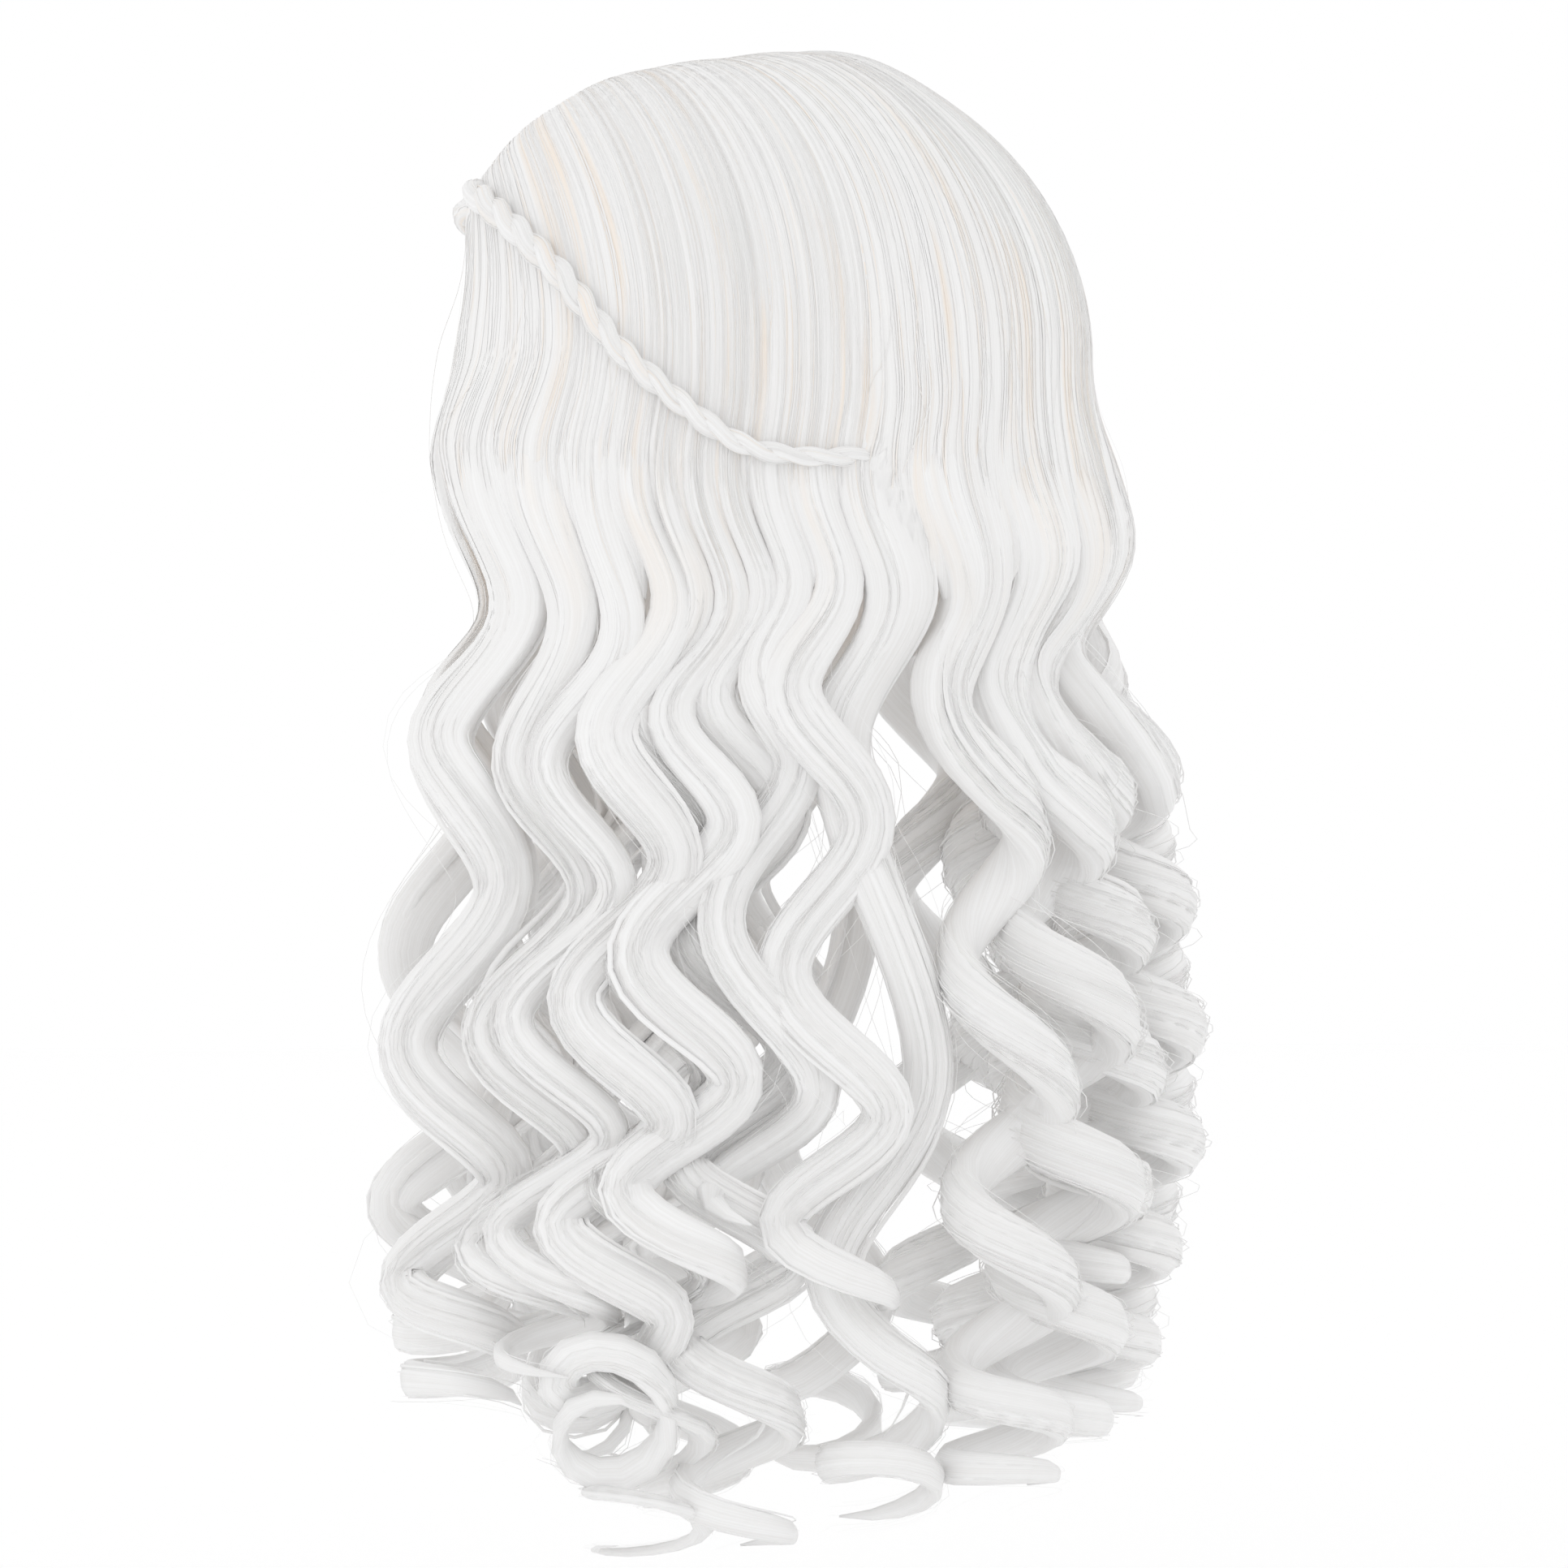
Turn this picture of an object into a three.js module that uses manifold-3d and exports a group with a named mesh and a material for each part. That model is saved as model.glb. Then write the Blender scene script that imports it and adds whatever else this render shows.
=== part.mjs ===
// A long curly costume wig: a stretch cap, seven tresses of hair sewn round it and a twisted strand on each side.
// Millimetres, +Z up. The face opening is towards -Y and the wearer's left is +X.
// The origin is the inside top of the cap, where the wig sits on the crown of a head.
// A bearing is degrees round the head: 0 at the face, 90 at the wearer's left, 180 at the back.
// A drop is the distance below the origin.

import * as THREE from "three";
import { mergeVertices } from "three/addons/utils/BufferGeometryUtils.js";
import Module from "manifold-3d";

const wasm = await Module();
wasm.setup();
const { clamp, degToRad, lerp, smoothstep } = THREE.MathUtils;

// Rounded forms about the middle of the head: half sizes each way, how square the front and back are, and how square
// the form is towards the sides where that differs.
const HEAD_DROP = 100;
const SQUARE_CHANGE = 0.6;
const CAP_INSIDE = { side: 74, front: 99, back: 93, rise: 100, fall: 150, squareFront: 2.8, squareBack: 2.2 };
const HAIR_SQUARE = { squareFront: 3, squareBack: 1.9, squareSide: 2.1 };
const HAIR_OUTSIDE = { side: 97, front: 124, back: 118, rise: 115, fall: 400, ...HAIR_SQUARE };

// Cap: wall, and the slope of its rim, which runs high over the forehead and low at the nape.
const CAP_WALL = 2;
const CAP_SIDES = 22;
const CAP_ROWS = 6;
const MERGE_DISTANCE = 1e-4;
const RIM_ELEVATION = -2;
const RIM_TILT = 31;

// Clearances between pieces: hair over the cap (its flat facets cut the curve), tress beside tress on the head and
// where it hangs, and the twisted strand on the hair.
const SEAT_GAP = 2.4;
const TRESS_GAP = 1;
const HANGING_GAP = 1.8;
const TWIST_GAP = 0.6;

// Parting: where the hair of each bearing starts, as an elevation above the middle of the head.
const PARTING = [
  { bearing: 20, elevation: 31 },
  { bearing: 100, elevation: 66 },
  { bearing: 180, elevation: 78 },
];
const PARTING_SLIT = 0.022;
const SLIT_CLOSING = 25;
const FALL_SHARE = 0.72;

// Hair cover over the head. A fall of 0 is the parting and 1 the widest part of the head, and each 1 below that
// is FALL_DROP. The cover swells from the parting, thins towards its lower edge and has a rib for each lock.
const FALL_DROP = 100;
const COVER_FALLS = [0, 0.1, 0.22, 0.38, 0.56, 0.78, 1, 1.45, 2];
const ROOT_THICKNESS = 6;
const FULL_FALL = 0.35;
const HALF_THICKNESS = 11;
const EDGE_HALF_THICKNESS = 4;
const RIB_HEIGHT = 3;
const RIB_STRETCH = 1.12;
const GROOVE_STRETCH = 0.78;
const HAND_CHANGE = 12;

// Middle of the hanging hair at each drop: half sizes to the sides, front and back.
const DRAPE = [
  { drop: 100, side: 86, front: 120, back: 108 },
  { drop: 160, side: 88, front: 118, back: 119 },
  { drop: 212, side: 92, front: 121, back: 115 },
  { drop: 260, side: 98, front: 121, back: 121 },
  { drop: 320, side: 108, front: 121, back: 126 },
  { drop: 380, side: 115, front: 122, back: 126 },
  { drop: 440, side: 118, front: 119, back: 114 },
  { drop: 530, side: 116, front: 110, back: 102 },
];
const DRAPE_SQUARE = { squareFront: 3, squareBack: 2.2 };

// The front hair billows forward beside the face: how far, and the falls and bearings where it does.
const BILLOW = 9;
const BILLOW_FALL = 1.1;
const BILLOW_LENGTH = 0.4;
const BILLOW_FULL = 22;
const BILLOW_END = 50;

// Curl of the hanging hair: turns made and radius of the curl at each drop.
const CURL = [
  { drop: 96, turns: -0.65, radius: 0 },
  { drop: 142, turns: -0.2, radius: 3 },
  { drop: 189, turns: 0.25, radius: 9 },
  { drop: 282, turns: 1.25, radius: 15 },
  { drop: 372, turns: 2.25, radius: 18 },
  { drop: 441, turns: 3.25, radius: 19 },
  { drop: 498, turns: 4.25, radius: 19 },
  { drop: 545, turns: 5.25, radius: 18 },
];
const WINDING_START = 1;
const STEPS_PER_TURN = 3.9;

// The way that hair faces as it curls, and the depth of its curl as a share of the radius. Hair at the sides waves
// fore and aft and stays flat apart from its tips, and hair at the back winds in full coils.
const SWING = [
  { bearing: 20, facing: 76, depth: 0.5 },
  { bearing: 60, facing: 82, depth: 0.45 },
  { bearing: 105, facing: 98, depth: 0.5 },
  { bearing: 140, facing: 140, depth: 1 },
  { bearing: 180, facing: 180, depth: 1 },
];
const COIL_DEPTH = 0.9;
const COIL_AT_TIP = 0.9;
const HALVINGS = 24;

// Locks of the left side: bearing, layer (how far out it hangs), drop of the tip, lead of the curl in turns, extra
// turns in each TIGHT_LENGTH below TIGHT_START, width, the angle by which the last turn rolls up on edge, and the
// extra turns that it winds up at its tip. The right side mirrors them, with uneven tips and a lead of its own.
const LOCKS = [
  { bearing: 29, layer: 7, tip: 478, lead: 0, tight: -0.22, width: 21, roll: 15, ring: 0.9 },
  { bearing: 40, layer: -9, tip: 455, lead: -0.1, tight: -0.04, width: 14, roll: 0, ring: 0.2 },
  { bearing: 52, layer: 8, tip: 464, lead: -0.1, tight: -0.04, width: 14, roll: 0, ring: 0.2 },
  { bearing: 60, layer: 5, tip: 490, lead: -0.01, tight: -0.02, width: 19, roll: 70, ring: 1.1 },
  { bearing: 70.5, layer: 8, tip: 446, lead: 0.15, tight: 0, width: 20, roll: 0, ring: 0.3 },
  { bearing: 78, layer: -9, tip: 527, lead: 0.2, tight: 0.05, width: 17, roll: 0, ring: 0.3 },
  { bearing: 83.5, layer: 4, tip: 410, lead: 0.4, tight: -0.27, width: 17, roll: 0, ring: 0.2 },
  { bearing: 95, layer: 11, tip: 442, lead: 0.15, tight: -0.13, width: 19, roll: 0, ring: 0.2 },
  { bearing: 108, layer: -13, tip: 510, lead: -0.1, tight: -0.5, width: 18, roll: 25, ring: 1 },
  { bearing: 126, layer: 6, tip: 506, lead: 0, tight: 0, width: 20, roll: 10, ring: 0.9 },
  { bearing: 141, layer: 6, tip: 494, lead: -0.1, tight: 0.55, width: 21, roll: 0, ring: 0.5 },
  { bearing: 158, layer: -9, tip: 440, lead: -0.1, tight: 0.55, width: 20, roll: 0, ring: 0.2 },
  { bearing: 172, layer: 6, tip: 488, lead: 0.04, tight: 1, width: 21, roll: 0, ring: 0.5 },
];
const TIGHT_START = 255;
const TIGHT_LENGTH = 100;
const RIGHT_LEAD = 0.26;
const RIGHT_UNEVENNESS = 14;
const UNEVENNESS_STEP = 2.4;
const LOCK_START = 165;
const LAYER_START = 182;
const LAYER_END = 250;
const LOCK_THICKNESS = 11;
const LOCK_SIDES = 5;
const ROLL_LENGTH = 60;
const ROLL_FULL = 20;
const TIP_LENGTH = 60;
const TIP_POWER = 4;

// Girth of a lock along its length, as a share of its own width and thickness.
const LOCK_GIRTH = [
  { drop: 0, girth: 0.8 },
  { drop: 0.16, girth: 1.15 },
  { drop: 0.4, girth: 1.02 },
  { drop: 0.85, girth: 0.92 },
  { drop: 1, girth: 0.6 },
];

// Tresses by the bearings that they cover on the left, with the middle one across the back.
const FRONT_EDGE = 20;
const TRESSES = [
  { name: "front_tress", from: FRONT_EDGE, to: 45 },
  { name: "side_tress", from: 45, to: 102 },
  { name: "back_tress", from: 102, to: 149.5 },
];
const MIDDLE_TRESS = { name: "middle_tress", from: 149.5, to: 210.5 };

// Twisted strand: its route over the hair, its size, and the length in which it turns once.
const TWIST_ROUTE = [
  { bearing: 23, fall: 0.28 },
  { bearing: 42.5, fall: 0.75 },
  { bearing: 51, fall: 0.96 },
  { bearing: 62, fall: 1.15 },
  { bearing: 76, fall: 1.33 },
  { bearing: 89.5, fall: 1.4 },
  { bearing: 106, fall: 1.41 },
];
const TWIST_RADIUS = 5.4;
const TWIST_END_SHARE = 0.62;
const TWIST_FLATNESS = 0.62;
const TWIST_PITCH = 26;
const TWIST_STEPS = 28;
const TWIST_SIDES = 5;

const HAIR = { color: 0xefefed, roughness: 0.45, metalness: 0 };
const CAP = { color: 0xe7d8c5, roughness: 0.9, metalness: 0 };

// Directions round the head, and the distance to a rounded form along one of them.
function outward(bearing, elevation = 0) {
  const round = degToRad(bearing);
  const up = degToRad(elevation);
  return new THREE.Vector3(Math.sin(round) * Math.cos(up), -Math.cos(round) * Math.cos(up), Math.sin(up));
}

function sideways(bearing) {
  const round = degToRad(bearing);
  return new THREE.Vector3(Math.cos(round), Math.sin(round), 0);
}

function reach(direction, form) {
  const change = smoothstep(direction.y, -SQUARE_CHANGE, SQUARE_CHANGE);
  const square = lerp(form.squareFront, form.squareBack, change);
  const squareSide = form.squareSide ?? square;
  const length = direction.y < 0 ? form.front : form.back;
  const height = direction.z > 0 ? form.rise : form.fall;
  const upright = Math.abs(direction.y / length) ** square + Math.abs(direction.z / height) ** square;
  const aside = Math.abs(direction.x / form.side) ** squareSide;
  return (upright ** (squareSide / square) + aside) ** (-1 / squareSide);
}

function grown(form, by) {
  const sizes = { side: form.side + by, front: form.front + by, back: form.back + by };
  return { ...form, ...sizes, rise: form.rise + by, fall: form.fall + by };
}

function fromHead(direction, distance) {
  return direction.clone().multiplyScalar(distance).add(new THREE.Vector3(0, 0, -HEAD_DROP));
}

// Smooth reading of a table between its rows, by the column named first.
function tableCurve(rows, key, ...columns) {
  const places = rows.map((row) => row[key]);
  const values = rows.flatMap((row) => columns.map((column) => row[column]));
  const curve = new THREE.CubicInterpolant(places, values, columns.length);
  return (place) => Array.from(curve.evaluate(place));
}

const drapeAt = tableCurve(DRAPE, "drop", "side", "front", "back");
const curlAt = tableCurve(CURL, "drop", "turns", "radius");
const girthAt = tableCurve(LOCK_GIRTH, "drop", "girth");
const partingAt = tableCurve(PARTING, "bearing", "elevation");
const swingAt = tableCurve(SWING, "bearing", "facing", "depth");

// Closed solid through rings of points. Strips between the two halves of a ring close both ends.
function loft(rings) {
  const count = rings[0].length;
  const index = [];
  const triangle = (a, b, c) => {
    if (a !== b && b !== c && c !== a) index.push(a, b, c);
  };
  const quad = (a, b, c, d) => {
    triangle(a, c, b);
    triangle(a, d, c);
  };
  for (let ring = 0; ring < rings.length - 1; ring += 1) {
    const low = ring * count;
    const high = low + count;
    for (let k = 0; k < count; k += 1) {
      const next = (k + 1) % count;
      quad(low + k, low + next, high + next, high + k);
    }
  }
  const last = (rings.length - 1) * count;
  for (let k = 0; k < (count - 2) / 2; k += 1) {
    quad(k + 1, k, count - 1 - k, count - 2 - k);
    quad(last + k, last + k + 1, last + count - 2 - k, last + count - 1 - k);
  }
  const geometry = new THREE.BufferGeometry();
  const positions = rings.flat().flatMap((point) => point.toArray());
  geometry.setAttribute("position", new THREE.Float32BufferAttribute(positions, 3));
  geometry.setIndex(index);
  return geometry;
}

// Joining of closed geometries into one body.
function toSolid(geometry) {
  const vertProperties = new Float32Array(geometry.attributes.position.array);
  const triVerts = new Uint32Array(geometry.index.array);
  return new wasm.Manifold(new wasm.Mesh({ numProp: 3, vertProperties, triVerts }));
}

function joined(geometries) {
  const { vertProperties, triVerts } = geometries
    .map(toSolid)
    .reduce((whole, piece) => whole.add(piece))
    .getMesh();
  const geometry = new THREE.BufferGeometry();
  geometry.setAttribute("position", new THREE.BufferAttribute(vertProperties, 3));
  geometry.setIndex(new THREE.BufferAttribute(triVerts, 1));
  return geometry;
}

// Cap: a turned double wall, stretched to the head's form and cut to the sloping rim.
function capGeometry() {
  const profile = [];
  for (let row = 0; row <= CAP_ROWS; row += 1) {
    profile.push({ share: row / CAP_ROWS, form: CAP_INSIDE });
  }
  for (let row = CAP_ROWS; row >= 0; row -= 1) {
    profile.push({ share: row / CAP_ROWS, form: grown(CAP_INSIDE, CAP_WALL) });
  }
  const turned = new THREE.LatheGeometry(
    profile.map(({ share }) => new THREE.Vector2(share, 1 - share)),
    CAP_SIDES,
  );
  const { position } = turned.attributes;
  for (let vertex = 0; vertex < position.count; vertex += 1) {
    const { share, form } = profile[vertex % profile.length];
    const bearing = (360 * (Math.floor(vertex / profile.length) % CAP_SIDES)) / CAP_SIDES;
    const rim = RIM_ELEVATION + RIM_TILT * Math.cos(degToRad(bearing));
    const direction = outward(bearing, lerp(90, rim, share));
    const place = fromHead(direction, reach(direction, form));
    position.setXYZ(vertex, place.x, place.y, place.z);
  }
  turned.deleteAttribute("normal");
  turned.deleteAttribute("uv");
  return mergeVertices(turned, MERGE_DISTANCE);
}

// The bearing that matches on the left side.
function folded(bearing) {
  return Math.min(bearing, 360 - bearing);
}

// Direction of combed hair: it leaves the parting sideways and hangs plumb at the widest part of the head.
function combed(bearing, share) {
  const [elevation] = partingAt(folded(bearing));
  const slit = PARTING_SLIT * clamp((180 - folded(bearing)) / SLIT_CLOSING, 0, 1) * (bearing < 180 ? 1 : -1);
  const root = outward(0, elevation).setX(slit);
  const turn = outward(bearing, elevation * FALL_SHARE);
  const plumb = outward(bearing);
  return root
    .multiplyScalar((1 - share) ** 2)
    .addScaledVector(turn, 2 * share * (1 - share))
    .addScaledVector(plumb, share ** 2)
    .normalize();
}

function drapePlace(bearing, drop) {
  const [side, front, back] = drapeAt(drop);
  const direction = outward(bearing);
  const distance = reach(direction, { side, front, back, rise: 1, fall: 1, ...DRAPE_SQUARE });
  return direction.multiplyScalar(distance).setZ(-drop);
}

function billow(bearing, fall) {
  const height = Math.exp(-(((fall - BILLOW_FALL) / BILLOW_LENGTH) ** 2));
  const share = 1 - smoothstep(folded(bearing), BILLOW_FULL, BILLOW_END);
  return outward(0).multiplyScalar(BILLOW * height * share);
}

// Outer and inner face of the hair cover at a bearing and a fall. The rib stands out from the even surface.
function coverFaces(bearing, fall, rib) {
  const forward = billow(bearing, fall);
  if (fall <= 1) {
    const direction = combed(bearing, fall);
    const inner = reach(direction, grown(CAP_INSIDE, CAP_WALL + SEAT_GAP));
    const full = reach(direction, HAIR_OUTSIDE) + rib;
    const outer = lerp(inner + ROOT_THICKNESS, full, smoothstep(fall, 0, FULL_FALL));
    return [fromHead(direction, outer).add(forward), fromHead(direction, inner).add(forward)];
  }
  const drop = HEAD_DROP + (fall - 1) * FALL_DROP;
  const hand = clamp((180 - bearing) / HAND_CHANGE, -1, 1);
  const middle = curled(drapePlace(bearing, drop).add(forward), bearing, hand, drop, curlAt(drop)[0], 0, 0);
  const half = lerp(HALF_THICKNESS, EDGE_HALF_THICKNESS, fall - 1);
  const direction = outward(bearing);
  const outer = middle.clone().addScaledVector(direction, half + rib);
  return [outer, middle.addScaledVector(direction, -half)];
}

// Hair cover of a tress, with a rib for each of its locks and its two side edges drawn in by half the gap.
// Its lower edge is scalloped: ribs reach lower than the grooves between them.
function coverGeometry(tress, locks) {
  const rib = { rib: RIB_HEIGHT / 2, stretch: RIB_STRETCH };
  const groove = { rib: -RIB_HEIGHT / 2, stretch: GROOVE_STRETCH };
  const edges = locks.map((lock, k) => (k ? (locks[k - 1].bearing + lock.bearing) / 2 : tress.from));
  const columns = locks.flatMap((lock, k) => [
    { bearing: edges[k], ...groove },
    { bearing: lock.bearing, ...rib },
  ]);
  columns.push({ bearing: tress.to, ...groove });
  const rings = COVER_FALLS.map((fall) => {
    const faces = columns.map(({ bearing, rib: height, stretch }) =>
      coverFaces(bearing, fall > 1 ? 1 + (fall - 1) * stretch : fall, height),
    );
    drawIn(faces, tress, fall);
    return [...faces.map(([outer]) => outer), ...faces.map(([, inner]) => inner).reverse()];
  });
  return loft(rings);
}

// On the head an edge moves towards the next column, and below it straight round the head.
function drawIn(faces, tress, fall) {
  const last = faces.length - 1;
  const edges = [
    { edge: 0, inside: 1, round: sideways(tress.from) },
    { edge: last, inside: last - 1, round: sideways(tress.to).negate() },
  ];
  for (const { edge, inside, round } of edges) {
    const towards = fall > 1 ? round : faces[inside][1].clone().sub(faces[edge][1]).normalize();
    const gap = fall > 1 ? HANGING_GAP : TRESS_GAP;
    faces[edge].forEach((point) => point.addScaledVector(towards, gap / 2));
  }
}

function swing(bearing) {
  const [facing, depth] = swingAt(folded(bearing));
  return { facing: bearing > 180 ? 360 - facing : facing, depth };
}

// Curl at a bearing, as a shift from where hair would hang straight. The two hands meet at the middle of the back,
// and a coil of 1 gives the curl its full depth.
function curled(place, bearing, hand, drop, turns, tilt, coil) {
  const [, radius] = curlAt(drop);
  const { facing, depth } = swing(bearing);
  const angle = 2 * Math.PI * turns;
  return place
    .addScaledVector(sideways(facing), hand * radius * Math.sin(angle))
    .addScaledVector(outward(facing, tilt), lerp(depth, 1, coil) * radius * Math.cos(angle));
}

function lockTurns(lock, drop) {
  const [turns] = curlAt(drop);
  const lead = lock.lead * smoothstep(drop, LAYER_START, LAYER_END);
  const tight = (lock.tight * Math.max(0, drop - TIGHT_START)) / TIGHT_LENGTH;
  const ring = lock.ring * Math.max(0, 1 + (drop - lock.tip) / TIP_LENGTH) ** TIP_POWER;
  return turns + lead + tight + ring;
}

// A lock hangs as a curl that opens out as it drops, and its last turn coils and may roll up on edge.
function lockPlace(lock, drop) {
  const atTip = smoothstep(drop, lock.tip - ROLL_LENGTH, lock.tip - ROLL_FULL);
  const layer = lock.layer * smoothstep(drop, LAYER_START, LAYER_END);
  const place = drapePlace(lock.bearing, drop).addScaledVector(outward(lock.bearing), layer);
  const turns = lockTurns(lock, drop);
  return curled(place, lock.bearing, lock.hand, drop, turns, lock.roll * atTip, COIL_AT_TIP * atTip);
}

// Section of a lock: a flat pentagon that faces outward, and lies round its curl where that is a full coil.
function lockRing(lock, drop) {
  const place = lockPlace(lock, drop);
  const along = lockPlace(lock, drop + 1).sub(lockPlace(lock, drop - 1)).normalize();
  const { facing, depth } = swing(lock.bearing);
  const wound = depth > COIL_DEPTH ? Math.max(0, lockTurns(lock, drop) - WINDING_START) : 0;
  const outOfFace = outward(facing)
    .multiplyScalar(Math.cos(2 * Math.PI * wound))
    .addScaledVector(sideways(facing), lock.hand * Math.sin(2 * Math.PI * wound));
  const across = new THREE.Vector3().crossVectors(along, outOfFace).normalize();
  const face = new THREE.Vector3().crossVectors(across, along);
  const [girth] = girthAt((drop - LOCK_START) / (lock.tip - LOCK_START));
  const ring = [];
  for (let k = 0; k < LOCK_SIDES; k += 1) {
    const angle = (2 * Math.PI * k) / LOCK_SIDES;
    ring.push(
      place
        .clone()
        .addScaledVector(across, (girth * lock.width * Math.cos(angle)) / 2)
        .addScaledVector(face, (girth * LOCK_THICKNESS * Math.sin(angle)) / 2),
    );
  }
  return ring;
}

function lockGeometry(lock) {
  const turns = lockTurns(lock, lock.tip) - lockTurns(lock, LOCK_START);
  const steps = Math.ceil(turns * STEPS_PER_TURN);
  const rings = [];
  for (let step = 0; step <= steps; step += 1) {
    rings.push(lockRing(lock, dropAtShare(lock, step / steps)));
  }
  return loft(rings);
}

// Drop at an even share of a lock's turns, found by halving.
function dropAtShare(lock, share) {
  const wanted = lerp(lockTurns(lock, LOCK_START), lockTurns(lock, lock.tip), share);
  let [low, high] = [LOCK_START, lock.tip];
  for (let halving = 0; halving < HALVINGS; halving += 1) {
    const middle = (low + high) / 2;
    if (lockTurns(lock, middle) < wanted) low = middle;
    else high = middle;
  }
  return (low + high) / 2;
}

// Twisted strand: an oval section that turns as it follows its route over the hair.
function twistGeometry(side) {
  const routeAt = tableCurve(TWIST_ROUTE.map((row, k) => ({ ...row, k })), "k", "bearing", "fall");
  const radiusAt = (share) => TWIST_RADIUS * lerp(1, TWIST_END_SHARE, share);
  const route = [];
  for (let step = 0; step <= TWIST_STEPS; step += 1) {
    const [bearing, fall] = routeAt((step / TWIST_STEPS) * (TWIST_ROUTE.length - 1));
    const [outer] = coverFaces(side > 0 ? bearing : 360 - bearing, fall, 0);
    const direction = outer.clone().add(new THREE.Vector3(0, 0, HEAD_DROP)).normalize();
    route.push(outer.addScaledVector(direction, RIB_HEIGHT / 2 + TWIST_GAP + radiusAt(step / TWIST_STEPS)));
  }
  const curve = new THREE.CatmullRomCurve3(route);
  const length = curve.getLength();
  const rings = [];
  for (let step = 0; step <= TWIST_STEPS; step += 1) {
    const share = step / TWIST_STEPS;
    const place = curve.getPointAt(share);
    const along = curve.getTangentAt(share);
    const out = place.clone().add(new THREE.Vector3(0, 0, HEAD_DROP)).normalize();
    const across = new THREE.Vector3().crossVectors(along, out).normalize();
    const face = new THREE.Vector3().crossVectors(across, along);
    const radius = radiusAt(share);
    const turn = (side * 2 * Math.PI * share * length) / TWIST_PITCH;
    const ring = [];
    for (let k = 0; k < TWIST_SIDES; k += 1) {
      const angle = (2 * Math.PI * k) / TWIST_SIDES - Math.PI / 2;
      const size = radius * lerp(1, TWIST_FLATNESS, Math.sin(angle - turn) ** 2);
      ring.push(
        place
          .clone()
          .addScaledVector(across, size * Math.cos(angle))
          .addScaledVector(face, size * Math.sin(angle)),
      );
    }
    rings.push(ring);
  }
  return loft(rings);
}

// All locks round the head, in order of bearing.
const leftLocks = LOCKS.map((lock) => ({ ...lock, hand: 1 }));
const rightLocks = LOCKS.map((lock, k) => ({
  ...lock,
  hand: -1,
  bearing: 360 - lock.bearing,
  lead: lock.lead + RIGHT_LEAD,
  tip: lock.tip + RIGHT_UNEVENNESS * Math.sin(UNEVENNESS_STEP * k),
}));
const allLocks = [...leftLocks, ...rightLocks].sort((a, b) => a.bearing - b.bearing);

function tressGeometry(tress) {
  const locks = allLocks.filter((lock) => lock.bearing > tress.from && lock.bearing < tress.to);
  return joined([coverGeometry(tress, locks), ...locks.map(lockGeometry)]);
}

function mirrored(tress) {
  return { from: 360 - tress.to, to: 360 - tress.from };
}

const wig = new THREE.Group();

function addPiece(name, geometry, finish) {
  const piece = new THREE.Mesh(geometry, new THREE.MeshStandardMaterial(finish));
  piece.name = name;
  wig.add(piece);
}

addPiece("wig_cap", capGeometry(), CAP);
for (const tress of TRESSES) {
  addPiece(`${tress.name}_left`, tressGeometry(tress), HAIR);
  addPiece(`${tress.name}_right`, tressGeometry(mirrored(tress)), HAIR);
}
addPiece(MIDDLE_TRESS.name, tressGeometry(MIDDLE_TRESS), HAIR);
addPiece("side_twist_left", twistGeometry(1), HAIR);
addPiece("side_twist_right", twistGeometry(-1), HAIR);

export default wig;
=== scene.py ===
"""A long white costume wig: a beige stretch cap, tresses of curled hair sewn round it, and a twist each side.

The wig's sizes are in millimetres until a mesh is made, and the camera, floor and light are in metres. The
face opening is towards -Y, the wearer's left is +X, and the origin is the inside top of the cap. A bearing is
degrees round the head: 0 face, 90 left side, 180 back. A drop is millimetres below the origin. A fall runs
along the hair: 0 at the parting, 1 at the widest part of the head, and 1 more for each FALL_DROP below that.
"""

import bpy
import math
from collections import namedtuple
import numpy as np
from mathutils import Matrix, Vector


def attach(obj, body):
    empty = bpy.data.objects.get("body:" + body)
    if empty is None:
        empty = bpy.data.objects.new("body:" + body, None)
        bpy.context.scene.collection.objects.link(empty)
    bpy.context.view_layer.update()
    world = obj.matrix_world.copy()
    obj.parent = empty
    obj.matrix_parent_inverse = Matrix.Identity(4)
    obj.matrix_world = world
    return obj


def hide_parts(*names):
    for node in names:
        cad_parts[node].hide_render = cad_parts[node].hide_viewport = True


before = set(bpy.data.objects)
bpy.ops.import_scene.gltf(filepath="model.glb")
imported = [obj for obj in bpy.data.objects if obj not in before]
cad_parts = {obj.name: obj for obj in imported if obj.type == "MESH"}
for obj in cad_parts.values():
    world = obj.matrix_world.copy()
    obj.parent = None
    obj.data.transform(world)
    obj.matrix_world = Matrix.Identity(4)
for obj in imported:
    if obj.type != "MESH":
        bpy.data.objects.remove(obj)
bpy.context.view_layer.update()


# Camera
# It looks level at the wearer's left side, a little from the front, from far enough off to flatten the curls.
# The frame's height is measured at the middle of the wig.
CAMERA_BEARING = 85
CAMERA_DISTANCE = 2.2
AIM = Vector((0, 0.0033, -0.2572))
FRAME_HEIGHT = 0.5796
SENSOR = 36

camera_data = bpy.data.cameras.new("camera")
camera_data.sensor_width = SENSOR
camera_data.lens = SENSOR * CAMERA_DISTANCE / FRAME_HEIGHT
camera = bpy.data.objects.new("camera", camera_data)
camera_round = math.radians(CAMERA_BEARING)
towards_camera = Vector((math.sin(camera_round), -math.cos(camera_round), 0))
camera.location = AIM + towards_camera * CAMERA_DISTANCE
camera.rotation_euler = (-towards_camera).to_track_quat("-Z", "Y").to_euler()
bpy.context.collection.objects.link(camera)
bpy.context.scene.camera = camera


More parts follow.
